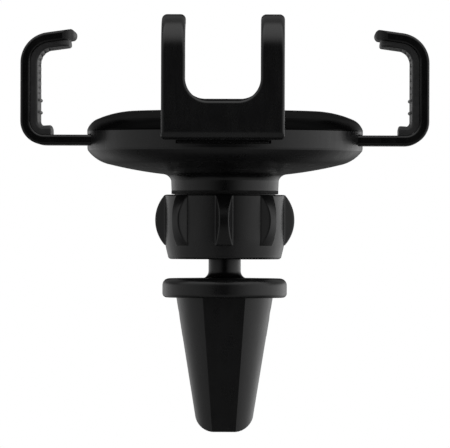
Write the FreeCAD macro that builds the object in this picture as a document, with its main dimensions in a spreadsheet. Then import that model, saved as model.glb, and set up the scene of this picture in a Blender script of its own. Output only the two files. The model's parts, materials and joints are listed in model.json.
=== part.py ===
import FreeCAD, Part
import math
import os

import Sketcher
from FreeCAD import Placement, Rotation, Vector

# Gravity phone mount for a car's air vent. A tapered clip grips a vane of the vent, a ball and a
# ribbed lock nut carry a round disc, and two side arms and a foot hold the phone on the disc.
# The phone's weight pushes the foot down, and a rack on the foot turns two pinions, which pull the
# racks of both arms inwards. Units are millimetres. +Z runs from the clip to the phone, -Y points
# at the foot, and the origin is the centre of the flange's underside, where the clip begins.

doc = FreeCAD.newDocument("vent_phone_mount")

SIZES = {
    # clip, flange, stem and ball
    "clip_top_radius": 9.2,
    "clip_tip_radius": 5.12,
    "clip_length": 25.5,
    "clip_rise": 0.2,
    "clip_flat_top": 0.898,
    "clip_flat_tip": 0.9,
    "clip_corner_radius": 3.7,
    "slot_half": 0.8,
    "liner_thick": 1.4,
    "liner_top_depth": 8.0,
    "liner_top_half": 6.6,
    "liner_tip_half": 3.4,
    "pin_depth": 3.0,
    "pin_radius": 0.9,
    "pin_half_length": 8.3,
    "flange_radius": 11.87,
    "flange_height": 3.66,
    "flange_edge": 1.3,
    "flange_low_edge": 0.8,
    "recess_radius": 9.8,
    "recess_depth": 0.85,
    "stem_radius": 3.08,
    "ball_radius": 6.95,
    "ball_height": 16.4,
    # ball socket and lock nut
    "fit_gap": 0.1,
    "cup_thick": 0.5,
    "collet_radius": 8.45,
    "boss_radius": 9.6,
    "boss_low": 11.5,
    "nut_low": 7.33,
    "nut_top": 19.6,
    "nut_floor": 1.17,
    "nut_mouth": 6.7,
    "nut_base_radius": 11.2,
    "nut_foot_radius": 10.85,
    "nut_core_radius": 11.5,
    "rib_crest_radius": 13.3,
    "rib_low": 10.0,
    "rib_top": 19.5,
    "rib_root_half": 1.65,
    "rib_crest_half": 0.93,
    # disc housing
    "neck_low": 19.9,
    "neck_radius": 10.17,
    "neck_lip": 0.22,
    "disc_radius": 26.3,
    "band_low": 28.3,
    "band_step": 29.75,
    "seam_height": 31.6,
    "face_height": 35.45,
    "pad_radius": 18.6,
    "pad_thick": 1.1,
    "cavity_radius": 24.4,
    "floor_height": 26.7,
    "roof_height": 23.8,
    "screw_x": 11.8,
    "screw_y": 12.0,
    "screw_radius": 0.85,
    "post_radius": 2.1,
    "plate_low": 31.3,
    "plate_thick": 1.0,
    # racks and pinions
    "gear_module": 0.6,
    "pinion_x": 14.0,
    "pinion_y": -2.0,
    "axle_radius": 1.0,
    "slide_low": 27.2,
    "slide_step": 28.8,
    "bar_low": 29.0,
    # arms
    "arm_half_depth": 7.0,
    "arm_reach": 38.8,
    "arm_wall": 1.9,
    "arm_low_bend": 4.5,
    "arm_top_bend": 5.8,
    "arm_straight_top": 44.55,
    "arm_tip_length": 4.6,
    "arm_tip_corner": 3.0,
    "pad_wall": 1.75,
    "pad_heel": 5.8,
    # foot
    "foot_front": 37.0,
    "foot_half_width": 11.4,
    "foot_wall": 2.2,
    "foot_low": 29.5,
    "foot_straight_top": 46.58,
    "foot_top_bend": 6.3,
    "foot_tip_length": 2.8,
    "foot_pad_wall": 1.8,
    "notch_half": 6.96,
    "notch_low": 36.7,
    "notch_corner": 4.2,
    "plate_half_width": 8.5,
    # return spring
    "spring_radius": 0.8,
    "spring_wire": 0.15,
    "spring_pitch": 0.9,
}

PINION_TEETH = 18
NUT_RIBS = 8
COLLET_SLOTS = 6
PRESSURE_ANGLE = math.radians(20)
# Share of a circular pitch that a tooth fills at the pitch line, which leaves running backlash.
TOOTH_SHARE = 0.424
ADDENDUM = 1.0
DEDENDUM = 1.25
HOOK_SLOPE = math.radians(8)

sheet = doc.addObject("Spreadsheet::Sheet", "Sizes")
for row, (alias, value) in enumerate(SIZES.items(), 1):
    sheet.set(f"A{row}", alias)
    sheet.set(f"B{row}", str(value))
    sheet.setAlias(f"B{row}", alias)
doc.recompute()


class Size:
    """A length with its value now and the expression that ties it to the sheet."""

    def __init__(self, value, text):
        self.value = value
        self.text = text

    def __add__(self, other):
        other = as_size(other)
        return Size(self.value + other.value, f"({self.text} + {other.text})")

    def __sub__(self, other):
        other = as_size(other)
        return Size(self.value - other.value, f"({self.text} - {other.text})")

    def __mul__(self, factor):
        factor = as_size(factor)
        return Size(self.value * factor.value, f"({self.text} * {factor.text})")

    def __rmul__(self, factor):
        return self * factor

    def __radd__(self, other):
        return as_size(other) + self

    def __rsub__(self, other):
        return as_size(other) - self

    def __neg__(self):
        return Size(-self.value, f"(0 - {self.text})")


def as_size(number):
    if isinstance(number, Size):
        return number
    return Size(float(number), f"({number:.7f})")


class Cells:
    """Gives each cell of the sheet as a Size, by its alias."""

    def __getattr__(self, alias):
        return Size(SIZES[alias], f"Sizes.{alias}")


D = Cells()
subparts = []


def bind(thing, name, size):
    thing.setExpression(name, as_size(size).text)


def keep(thing, label):
    """Names a finished sub-part and puts it on the list to write."""
    thing.Label = label
    subparts.append(thing)
    return thing


def new_body(name):
    return doc.addObject("PartDesign::Body", "Body_" + name)


def plane_of(body, role):
    for feature in body.Origin.OriginFeatures:
        if feature.Role == role:
            return feature
    raise ValueError(role)


def new_sketch(body, role, offset=0):
    sketch = body.newObject("Sketcher::SketchObject", "Sketch")
    sketch.AttachmentSupport = [(plane_of(body, role), "")]
    sketch.MapMode = "FlatFace"
    bind(sketch, "AttachmentOffset.Base.z", offset)
    return sketch


def pin_point(sketch, piece, end, x, y):
    """Ties one point of a sketch to its two coordinates."""
    for kind, size in (("DistanceX", as_size(x)), ("DistanceY", as_size(y))):
        number = sketch.addConstraint(Sketcher.Constraint(kind, -1, 1, piece, end, size.value))
        bind(sketch, f"Constraints[{number}]", size)


def arc_between(start, end, radius):
    """The arc of less than half a turn from start to end, counter-clockwise for a positive radius."""
    chord = end - start
    middle = (start + end) * 0.5
    left = Vector(-chord.y, chord.x, 0).normalize()
    rise = math.sqrt(max(radius * radius - chord.Length ** 2 / 4, 0))
    centre = middle + left * math.copysign(rise, radius)
    first, last = (start, end) if radius > 0 else (end, start)
    angles = [math.atan2(p.y - centre.y, p.x - centre.x) for p in (first, last)]
    if angles[1] < angles[0]:
        angles[1] += 2 * math.pi
    circle = Part.Circle(centre, Vector(0, 0, 1), abs(radius))
    return Part.ArcOfCircle(circle, *angles)


def outline(body, role, points, offset=0, side=1):
    """A closed sketch through points (x, y) or (x, y, radius of the arc that arrives there).

    side -1 mirrors it in the sketch's vertical axis.
    """
    sketch = new_sketch(body, role, offset)
    first = len(points)
    corners = []
    for point in points:
        x, y = (as_size(c) for c in point[:2])
        corners.append((x * side if side < 0 else x, y))
    spots = [Vector(x.value, y.value, 0) for x, y in corners]
    begins = []
    ends = []
    for i in range(first):
        target = (i + 1) % first
        radius = as_size(points[target][2]) * side if len(points[target]) > 2 else None
        if radius is None:
            sketch.addGeometry(Part.LineSegment(spots[i], spots[target]), False)
        else:
            sketch.addGeometry(arc_between(spots[i], spots[target], radius.value), False)
            length = radius if radius.value > 0 else -radius
            number = sketch.addConstraint(Sketcher.Constraint("Radius", i, length.value))
            bind(sketch, f"Constraints[{number}]", length)
        turned = radius is not None and radius.value < 0
        begins.append(2 if turned else 1)
        ends.append(1 if turned else 2)
    for i in range(first):
        target = (i + 1) % first
        sketch.addConstraint(Sketcher.Constraint("Coincident", i, ends[i], target, begins[target]))
        pin_point(sketch, i, begins[i], *corners[i])
    return sketch


def circles(body, role, spots, offset=0):
    """A sketch of circles, each (x, y, radius)."""
    sketch = new_sketch(body, role, offset)
    for x, y, radius in spots:
        x, y, radius = as_size(x), as_size(y), as_size(radius)
        ring = Part.Circle(Vector(x.value, y.value, 0), Vector(0, 0, 1), radius.value)
        piece = sketch.addGeometry(ring, False)
        pin_point(sketch, piece, 3, x, y)
        number = sketch.addConstraint(Sketcher.Constraint("Radius", piece, radius.value))
        bind(sketch, f"Constraints[{number}]", radius)
    return sketch


def rectangle(body, role, low, high, offset=0):
    corners = [(low[0], low[1]), (high[0], low[1]), (high[0], high[1]), (low[0], high[1])]
    return outline(body, role, corners, offset)


def pad(body, sketch, length, middle=False, down=False):
    feature = body.newObject("PartDesign::Pad", "Pad")
    feature.Profile = sketch
    feature.Midplane = middle
    feature.Reversed = down
    bind(feature, "Length", length)
    doc.recompute()
    return feature


def checked_cut(body, kind, sketch, settings):
    """Adds a cut and makes sure that it took something away."""
    before = body.Shape.Volume
    feature = body.newObject(kind, "Cut")
    feature.Profile = sketch
    for name, value in settings.items():
        if isinstance(value, Size):
            bind(feature, name, value)
        else:
            setattr(feature, name, value)
    doc.recompute()
    if not body.Shape.Volume < before:
        raise RuntimeError(f"{body.Name}: a cut took nothing away")
    return feature


def pocket(body, sketch, length, up=True, middle=False):
    """Cuts a depth above the sketch's plane, below it, or half to each side."""
    settings = {"Midplane": middle, "Reversed": up and not middle, "Length": as_size(length)}
    return checked_cut(body, "PartDesign::Pocket", sketch, settings)


def revolve(body, sketch):
    feature = body.newObject("PartDesign::Revolution", "Revolution")
    feature.Profile = sketch
    feature.ReferenceAxis = (sketch, ["V_Axis"])
    feature.Angle = 360
    doc.recompute()
    return feature


def groove(body, sketch):
    settings = {"ReferenceAxis": (sketch, ["V_Axis"]), "Angle": 360}
    return checked_cut(body, "PartDesign::Groove", sketch, settings)


def polar(body, feature, count):
    pattern = body.newObject("PartDesign::PolarPattern", "PolarPattern")
    pattern.Originals = [feature]
    pattern.Axis = (plane_of(body, "Z_Axis"), [""])
    pattern.Angle = 360
    pattern.Occurrences = count
    body.Tip = pattern
    doc.recompute()
    return pattern


def linear(body, feature, role, length, count):
    pattern = body.newObject("PartDesign::LinearPattern", "LinearPattern")
    pattern.Originals = [feature]
    pattern.Direction = (plane_of(body, role), [""])
    bind(pattern, "Length", length)
    pattern.Occurrences = count
    body.Tip = pattern
    doc.recompute()
    return pattern


def round_edges(body, radius, test, kind="PartDesign::Fillet"):
    """Rounds, or chamfers, the edges of the tip whose bounding box passes the test."""
    base = body.Tip
    names = [f"Edge{i}" for i, edge in enumerate(base.Shape.Edges, 1) if test(edge.BoundBox)]
    feature = body.newObject(kind, "Rounded")
    feature.Base = (base, names)
    bind(feature, "Radius" if kind.endswith("Fillet") else "Size", radius)
    doc.recompute()
    return feature


def cylinder(radius, height, spot, direction=None):
    """A plain cylinder from spot, up or along a direction."""
    piece = doc.addObject("Part::Cylinder", "Cylinder")
    if direction:
        piece.Placement = Placement(Vector(), Rotation(Vector(0, 0, 1), Vector(*direction)))
    bind(piece, "Radius", radius)
    bind(piece, "Height", height)
    for axis, size in zip("xyz", spot):
        bind(piece, f"Placement.Base.{axis}", size)
    return piece


def compound(label, pieces):
    """Several separate solids in one sub-part."""
    group = doc.addObject("Part::Compound", "Compound_" + label)
    group.Links = pieces
    doc.recompute()
    return keep(group, label)


def near(value, target, slack=0.02):
    return abs(value - target) < slack


# ------------------------------------------------------------------ vent clip and ball stud


def ball_stud():
    """Ball, stem and flange in one, recessed below, with two cheeks that carry the jaw pin."""
    body = new_body("ball_stud")
    stem_top = D.ball_height - math.sqrt(SIZES["ball_radius"] ** 2 - SIZES["stem_radius"] ** 2)
    flare = 0.85
    profile = [
        (0, D.recess_depth),
        (D.recess_radius, D.recess_depth),
        (D.recess_radius, 0),
        (D.flange_radius - D.flange_low_edge, 0),
        (D.flange_radius, D.flange_low_edge, D.flange_low_edge),
        (D.flange_radius, D.flange_height - D.flange_edge),
        (D.flange_radius - D.flange_edge, D.flange_height, D.flange_edge),
        (D.stem_radius + flare, D.flange_height + 0.1),
        (D.stem_radius, D.flange_height + flare + 0.5, -1.4),
        (D.stem_radius, stem_top),
        (D.ball_radius, D.ball_height, D.ball_radius),
        (0, D.ball_height + D.ball_radius, D.ball_radius),
    ]
    revolve(body, outline(body, "XZ_Plane", profile))
    cheek_end = (0 - D.pin_depth) - 1.9
    for side in (1, -1):
        inner, outer = sorted((2.4 * side, 3.4 * side))
        cheek = rectangle(body, "XZ_Plane", (inner, cheek_end), (outer, D.recess_depth + 0.4))
        pad(body, cheek, 3.4, middle=True)
    hole = circles(body, "YZ_Plane", [(0, -D.pin_depth, D.pin_radius + 0.04)])
    pocket(body, hole, 20, middle=True)
    return keep(body, "ball_stud")


def clip_section(scale_radius, ratio, side):
    """Half of a round section with a flat on its outside: one slice of a jaw."""
    flat = scale_radius * ratio
    edge = scale_radius * math.sqrt(1 - ratio.value ** 2)
    points = [
        (scale_radius, 0),
        (edge, flat, scale_radius),
        (-edge, flat),
        (-scale_radius, 0, scale_radius),
    ]
    if side > 0:
        return points
    mirrored = [(x, -y) for x, y, *_ in points]
    mirrored[1] = (*mirrored[1], -scale_radius)
    mirrored[3] = (*mirrored[3], -scale_radius)
    return mirrored


def liner_shape(margin, over):
    """Outline of a liner's plate, grown by a margin, and lengthened past the tip."""
    low = -D.clip_length + 0.2
    tip_half = D.liner_tip_half + margin
    top_half = D.liner_top_half + margin
    return [
        (-tip_half, low - over),
        (tip_half, low - over),
        (tip_half + 0.9, low + 1.6),
        (top_half, -D.liner_top_depth + margin),
        (-top_half, -D.liner_top_depth + margin),
        (-tip_half - 0.9, low + 1.6),
    ]


def clip_jaw(label, side):
    """One half of the tapered clip, hollow round the pin, with two ears and a seat for its liner."""
    body = new_body(label)
    taper = (SIZES["clip_top_radius"] - SIZES["clip_tip_radius"]) / SIZES["clip_length"]
    top_radius = D.clip_top_radius + D.clip_rise * taper
    top_slice = clip_section(top_radius, D.clip_flat_top, side)
    tip_slice = clip_section(D.clip_tip_radius, D.clip_flat_tip, side)
    top = outline(body, "XY_Plane", top_slice, D.clip_rise)
    tip = outline(body, "XY_Plane", tip_slice, -D.clip_length)
    loft = body.newObject("PartDesign::AdditiveLoft", "Loft")
    loft.Profile = top
    loft.Sections = [tip]
    doc.recompute()

    # Room between the two jaws: narrow at the top, as wide as the slot below, with a liner's seat.
    far = 20
    gap = 0.4
    split = rectangle(body, "YZ_Plane", (-gap, -30), (gap, 1))
    pocket(body, split, far, middle=True)
    face = D.slot_half + 0.05
    room = rectangle(body, "YZ_Plane", (-face, -30), (face, -(D.liner_top_depth - 0.6)))
    pocket(body, room, far, middle=True)
    seat = outline(body, "XZ_Plane", liner_shape(0.08, 3), 0 - face * side)
    pocket(body, seat, D.liner_thick, up=side < 0)
    hub_half = 6.7
    hub = rectangle(body, "YZ_Plane", (-2.6, -(D.liner_top_depth - 0.6)), (2.6, 1))
    pocket(body, hub, 2 * hub_half, middle=True)

    # The rounded corners of the tip, seen from the front.
    low = -D.clip_length
    for corner_side in (1, -1):
        corner = [
            (D.clip_tip_radius - D.clip_corner_radius + 0.4, low),
            (D.clip_tip_radius + 0.52, low + D.clip_corner_radius, D.clip_corner_radius),
            (D.clip_tip_radius + 2, low + D.clip_corner_radius),
            (D.clip_tip_radius + 2, low - 1),
            (D.clip_tip_radius - D.clip_corner_radius + 0.4, low - 1),
        ]
        pocket(body, outline(body, "XZ_Plane", corner, side=corner_side), far, middle=True)

    # Two ears hold the jaw on the pin: outside the stud's cheeks, and each jaw's own pair.
    inner = 3.6 if side < 0 else 4.9
    ear_radius = 1.9
    for ear_side in (1, -1):
        start = inner if ear_side > 0 else -(inner + 1.1)
        points = [
            (0, -D.pin_depth - ear_radius),
            (3.0 * side, -D.pin_depth - ear_radius),
            (3.0 * side, -D.pin_depth + ear_radius),
            (0, -D.pin_depth + ear_radius),
            (-ear_radius * side, -D.pin_depth, ear_radius * side),
        ]
        points[0] = (*points[0], ear_radius * side)
        pad(body, outline(body, "YZ_Plane", points, start), 1.1)
    hole = circles(body, "YZ_Plane", [(0, -D.pin_depth, D.pin_radius + 0.08)])
    pocket(body, hole, far, middle=True)
    keep(body, label)


def jaw_liner(label, side):
    """Rubber grip plate inside a jaw, with cross grooves towards the vane."""
    body = new_body(label)
    # The plane's normal points at -Y, so the front liner is padded up from it.
    offset = -D.slot_half if side > 0 else D.slot_half
    plate = outline(body, "XZ_Plane", liner_shape(0, 0), offset)
    pad(body, plate, D.liner_thick - 0.05, down=side > 0)
    near_face = D.slot_half * side
    depth = 0.45 * side
    notch_low = -D.clip_length + 1.5
    notch = [
        (near_face, notch_low),
        (near_face, notch_low + 0.9),
        (near_face + depth, notch_low + 0.65),
        (near_face + depth, notch_low + 0.25),
    ]
    cut = pocket(body, outline(body, "YZ_Plane", notch), 20, middle=True)
    linear(body, cut, "Z_Axis", 14.3, 12)
    keep(body, label)


def jaw_spring():
    """Torsion spring on the jaw pin: a coil with one leg behind each jaw."""
    wire_radius = 0.28
    coil_radius = D.pin_radius + 0.45
    coil = doc.addObject("Part::Helix", "JawCoilPath")
    bind(coil, "Radius", coil_radius)
    coil.Pitch = 0.62
    coil.Height = 3.72
    coil.Placement = Placement(Vector(-1.86, 0, -SIZES["pin_depth"]), Rotation(Vector(0, 1, 0), 90))
    ring = doc.addObject("Part::Circle", "JawWireSection")
    ring.Radius = wire_radius
    doc.recompute()
    start = coil.Shape.Vertexes[0].Point
    heading = coil.Shape.Edges[0].tangentAt(coil.Shape.Edges[0].FirstParameter)
    ring.Placement = Placement(start, Rotation(Vector(0, 0, 1), heading))
    sweep = doc.addObject("Part::Sweep", "JawCoil")
    sweep.Sections = [ring]
    sweep.Spine = (coil, [])
    sweep.Solid = True
    sweep.Frenet = True
    doc.recompute()
    legs = []
    for side in (1, -1):
        leg = cylinder(wire_radius, 4.1, (1.86 * side, 1.95 * side, -7.0))
        legs.append(leg)
    compound("jaw_spring", [sweep, *legs])


# ------------------------------------------------------------------ ball socket and lock nut


def ball_cup():
    """Thin nylon cup that hugs the ball and turns about the stem's axis."""
    body = new_body("ball_cup")
    inner = SIZES["ball_radius"] + SIZES["fit_gap"]
    outer = inner + SIZES["cup_thick"]
    low = -4.2
    top = 5.0
    inside = D.ball_radius + D.fit_gap
    outside = inside + D.cup_thick
    profile = [
        (math.sqrt(inner ** 2 - low ** 2), D.ball_height + low),
        (math.sqrt(outer ** 2 - low ** 2), D.ball_height + low),
        (math.sqrt(outer ** 2 - top ** 2), D.ball_height + top, outside),
        (math.sqrt(inner ** 2 - top ** 2), D.ball_height + top),
    ]
    profile[0] = (*profile[0], -inside)
    revolve(body, outline(body, "XZ_Plane", profile))
    keep(body, "ball_cup")


def split_collet():
    """Slotted collet between the cup and the neck's bore, which the lock nut squeezes."""
    body = new_body("split_collet")
    inner = SIZES["ball_radius"] + 2 * SIZES["fit_gap"] + SIZES["cup_thick"]
    inside = D.ball_radius + D.fit_gap * 2 + D.cup_thick
    low = -5.2
    top = 5.8
    profile = [
        (math.sqrt(inner ** 2 - low ** 2), D.ball_height + low),
        (D.collet_radius - 0.4, D.ball_height + low),
        (D.collet_radius, D.ball_height + low + 0.9),
        (D.collet_radius, D.ball_height + top),
        (math.sqrt(inner ** 2 - top ** 2), D.ball_height + top),
    ]
    profile[0] = (*profile[0], -inside)
    revolve(body, outline(body, "XZ_Plane", profile))
    slot_width = 0.8
    slot = rectangle(body, "XZ_Plane", (-slot_width / 2, 0), (slot_width / 2, D.ball_height + 1.5))
    cut = pocket(body, slot, 12, up=True)
    polar(body, cut, COLLET_SLOTS)
    keep(body, "split_collet")


def clamp_ring():
    """Ring on the nut's floor that presses the collet up, and moves with the thread."""
    body = new_body("clamp_ring")
    low = D.nut_low + D.nut_floor + D.fit_gap
    top = D.ball_height - 5.2 - D.fit_gap
    profile = [
        (6.3, low),
        (D.boss_radius - 0.6, low),
        (D.boss_radius - 0.6, low + 1.6),
        (D.collet_radius, top),
        (6.3, top),
    ]
    revolve(body, outline(body, "XZ_Plane", profile))
    keep(body, "clamp_ring")


def lock_nut():
    """Ribbed nut: a floor with a wide mouth for the stem, a plain core and D-shaped grip ribs."""
    body = new_body("lock_nut")
    bore = D.boss_radius + D.fit_gap
    floor = D.nut_low + D.nut_floor
    profile = [
        (D.nut_mouth + 0.35, D.nut_low),
        (D.nut_foot_radius - 0.65, D.nut_low),
        (D.nut_foot_radius, D.nut_low + 0.65, 0.65),
        (D.nut_base_radius, D.rib_low - 0.1),
        (D.nut_core_radius, D.rib_low + 0.5),
        (D.nut_core_radius, D.nut_top - 0.3),
        (D.nut_core_radius - 0.3, D.nut_top, 0.3),
        (bore, D.nut_top),
        (bore, floor),
        (D.nut_mouth, floor),
        (D.nut_mouth, D.nut_low + 0.35),
    ]
    revolve(body, outline(body, "XZ_Plane", profile))

    root = D.nut_core_radius - 0.6
    reach = D.rib_crest_radius + 1
    slope = (SIZES["rib_root_half"] - SIZES["rib_crest_half"]) / (
        SIZES["rib_crest_radius"] - SIZES["nut_core_radius"])
    tip_half = D.rib_crest_half - slope
    base_half = D.rib_root_half + 0.6 * slope
    rib = [(-base_half, -root), (-tip_half, -reach), (tip_half, -reach), (base_half, -root)]
    blank = pad(body, outline(body, "XY_Plane", rib, D.rib_low), D.rib_top - D.rib_low)
    polar(body, blank, NUT_RIBS)
    half_height = (SIZES["rib_top"] - SIZES["rib_low"]) / 2 + 0.1
    rise = SIZES["rib_crest_radius"] - SIZES["nut_core_radius"] + 0.1
    crest_arc = (half_height ** 2 + rise ** 2) / (2 * rise)
    root_line = D.nut_core_radius - 0.1
    crown = [
        (root_line, D.rib_low - 0.1),
        (reach + 1, D.rib_low - 0.1),
        (reach + 1, D.rib_top + 0.1),
        (root_line, D.rib_top + 0.1),
        (D.rib_crest_radius, (D.rib_low + D.rib_top) * 0.5, -crest_arc),
    ]
    crown[0] = (*crown[0], -crest_arc)
    groove(body, outline(body, "XZ_Plane", crown))
    keep(body, "lock_nut")


# ------------------------------------------------------------------ disc housing


def screw_spots():
    return [(D.screw_x * sx, D.screw_y * sy) for sx in (1, -1) for sy in (1, -1)]


def rear_housing():
    """Lower shell of the disc with the neck, the socket boss, the posts and the guides."""
    body = new_body("rear_housing")
    bore = D.collet_radius + D.fit_gap
    dome_low = D.neck_low + 3.6
    profile = [
        (bore, D.boss_low),
        (D.boss_radius, D.boss_low),
        (D.boss_radius, D.neck_low - 0.2),
        (D.neck_radius - D.neck_lip, D.neck_low - 0.2),
        (D.neck_radius - D.neck_lip, D.neck_low + 0.3),
        (D.neck_radius, D.neck_low + 0.3),
        (D.neck_radius + 0.1, D.neck_low + 2.4),
        (D.neck_radius + 1.55, dome_low, -1.7),
        (D.disc_radius - 4.4, dome_low + 1.8, 80),
        (D.disc_radius - 0.15, D.band_low - 0.35, 7),
        (D.disc_radius - 0.05, D.band_low),
        (D.disc_radius, D.band_step),
        (D.disc_radius, D.seam_height),
        (D.cavity_radius, D.seam_height),
        (D.cavity_radius, D.band_low - 0.1),
        (D.cavity_radius - 1.8, D.floor_height),
        (0, D.floor_height),
        (0, D.roof_height),
        (bore, D.roof_height),
    ]
    revolve(body, outline(body, "XZ_Plane", profile))

    # Posts for the cover's screws, seats for the axles, guides for the foot and the arm racks.
    under_floor = D.floor_height - 0.3
    posts = [(x, y, D.post_radius) for x, y in screw_spots()]
    pad(body, circles(body, "XY_Plane", posts, under_floor), D.plate_low - under_floor)
    seats = [(D.pinion_x * side, D.pinion_y, 2.2) for side in (1, -1)]
    pad(body, circles(body, "XY_Plane", seats, under_floor), D.slide_low - 0.1 - under_floor)
    rail_low = D.arm_half_depth + 0.3
    for side in (1, -1):
        inner, outer = sorted((10.0 * side, 20.0 * side))
        rail = rectangle(body, "XY_Plane", (inner, rail_low), (outer, rail_low + 1.1), under_floor)
        pad(body, rail, 4.1)
        inner, outer = sorted((9.5 * side, 10.6 * side))
        guide = rectangle(body, "XY_Plane", (inner, -20.5), (outer, -15), under_floor)
        pad(body, guide, 4.1)
        inner, outer = sorted((4.0 * side, 5.0 * side))
        runner = rectangle(body, "XY_Plane", (inner, -21), (outer, 14), under_floor)
        pad(body, runner, D.slide_low - 0.1 - under_floor)
    anchor = circles(body, "XY_Plane", [(0, 20.6, 1.3)], under_floor)
    pad(body, anchor, 2.0)
    stud = circles(body, "XY_Plane", [(0, 20.6, 0.6)], under_floor)
    pad(body, stud, 4.4)

    # Openings in the wall: the foot's slide at the front, and an arm's bar at each side.
    foot_slot = rectangle(body, "XY_Plane", (-8.9, -28), (8.9, -19), D.bar_low)
    pocket(body, foot_slot, 2.05)
    for side in (1, -1):
        inner, outer = sorted((22.0 * side, 28.0 * side))
        depth = D.arm_half_depth + 0.15
        pocket(body, rectangle(body, "XY_Plane", (inner, -depth), (outer, depth), D.bar_low - 0.15), 2.2)

    holes = [(x, y, D.screw_radius + 0.05) for x, y in screw_spots()]
    pocket(body, circles(body, "XY_Plane", holes, D.floor_height + 0.2), 10)
    sockets = [(D.pinion_x * side, D.pinion_y, D.axle_radius) for side in (1, -1)]
    pocket(body, circles(body, "XY_Plane", sockets, D.floor_height - 1.2), 10)
    keep(body, "rear_housing")


def front_cover():
    """Upper shell of the disc: a soft shoulder round a flat, recessed face."""
    body = new_body("front_cover")
    recess = D.face_height - D.pad_thick
    inner_top = recess - 1.2
    shoulder = (D.disc_radius - 1.65, D.seam_height + 2.25)
    profile = [
        (D.cavity_radius - 1.1, D.plate_low),
        (D.cavity_radius - 0.1, D.plate_low),
        (D.cavity_radius - 0.1, D.seam_height),
        (D.disc_radius, D.seam_height),
        (D.disc_radius, D.seam_height + 0.3),
        (*shoulder, 3.5),
        (D.pad_radius + 0.15, D.face_height, 19),
        (D.pad_radius + 0.15, recess),
        (0, recess),
        (0, inner_top),
        (D.cavity_radius - 2.0, inner_top),
        (D.cavity_radius - 1.1, inner_top - 0.8, -1.0),
    ]
    revolve(body, outline(body, "XZ_Plane", profile))
    plate_top = D.plate_low + D.plate_thick
    posts = [(x, y, D.post_radius) for x, y in screw_spots()]
    pad(body, circles(body, "XY_Plane", posts, plate_top), inner_top + 0.3 - plate_top)
    holes = [(x, y, D.screw_radius + 0.1) for x, y in screw_spots()]
    pocket(body, circles(body, "XY_Plane", holes, plate_top - 1), 10)
    heads = [(x, y, D.screw_radius + 0.9) for x, y in screw_spots()]
    pocket(body, circles(body, "XY_Plane", heads, recess - 0.95), 5)
    keep(body, "front_cover")


def front_pad():
    """Rubber pad let into the face, with a ring groove and a row of grip grooves."""
    body = new_body("front_pad")
    low = D.face_height - D.pad_thick
    pad(body, circles(body, "XY_Plane", [(0, 0, D.pad_radius)], low), D.pad_thick)
    round_edges(body, 0.25, lambda box: near(box.ZMin, SIZES["face_height"]))
    ring = rectangle(body, "XZ_Plane", (14.6, D.face_height - 0.35), (15.3, D.face_height + 1))
    groove(body, ring)
    bar = rectangle(body, "XY_Plane", (-8.5, -8.6), (8.5, -7.8), D.face_height - 0.35)
    cut = pocket(body, bar, 2)
    linear(body, cut, "Y_Axis", 16.4, 6)
    keep(body, "front_pad")


def retainer_plate():
    """Plate over the racks and pinions that holds the axles' upper ends."""
    body = new_body("retainer_plate")
    rim = D.cavity_radius - 1.4
    pad(body, circles(body, "XY_Plane", [(0, 0, rim)], D.plate_low), D.plate_thick)
    holes = [(x, y, D.screw_radius + 0.15) for x, y in screw_spots()]
    holes += [(D.pinion_x * side, D.pinion_y, D.axle_radius + 0.05) for side in (1, -1)]
    holes += [(0, 20.6, 1.0)]
    pocket(body, circles(body, "XY_Plane", holes, D.plate_low - 1), 5)
    window = rectangle(body, "XY_Plane", (-5, -14), (5, 1), D.plate_low - 1)
    pocket(body, window, 5)
    keep(body, "retainer_plate")


def cover_screw(x, y):
    """A pan-head screw from the face's recess into a post of the rear housing."""
    top = D.face_height - D.pad_thick - 0.05
    head = cylinder(D.screw_radius + 0.75, 0.85, (x, y, top - 0.85))
    shank = cylinder(D.screw_radius, top - D.floor_height - 1.1, (x, y, D.floor_height + 0.6))
    screw = doc.addObject("Part::MultiFuse", "Screw")
    screw.Shapes = [head, shank]
    bits = []
    for turn in (0, 90):
        slot = doc.addObject("Part::Box", "DriveSlot")
        slot.Length = 2.0
        slot.Width = 0.4
        slot.Height = 1.0
        rotation = Rotation(Vector(0, 0, 1), turn)
        corner = rotation.multVec(Vector(-1.0, -0.2, 0))
        slot.Placement = Placement(Vector(), rotation)
        bind(slot, "Placement.Base.x", x + corner.x)
        bind(slot, "Placement.Base.y", y + corner.y)
        bind(slot, "Placement.Base.z", top - 0.45)
        bits.append(slot)
    driver = doc.addObject("Part::MultiFuse", "Drive")
    driver.Shapes = bits
    cut = doc.addObject("Part::Cut", "CoverScrew")
    cut.Base = screw
    cut.Tool = driver
    return cut


# ------------------------------------------------------------------ racks and pinions


def tooth_half_width(radius):
    """Half the thickness of a pinion tooth at a radius, in modules, for an involute flank."""
    pitch_radius = PINION_TEETH / 2
    base_radius = pitch_radius * math.cos(PRESSURE_ANGLE)
    half_angle = TOOTH_SHARE * math.pi / 2 / pitch_radius
    half_angle += math.tan(PRESSURE_ANGLE) - PRESSURE_ANGLE
    if radius > base_radius:
        pressure = math.acos(base_radius / radius)
        half_angle -= math.tan(pressure) - pressure
    return radius * math.sin(half_angle)


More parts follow.
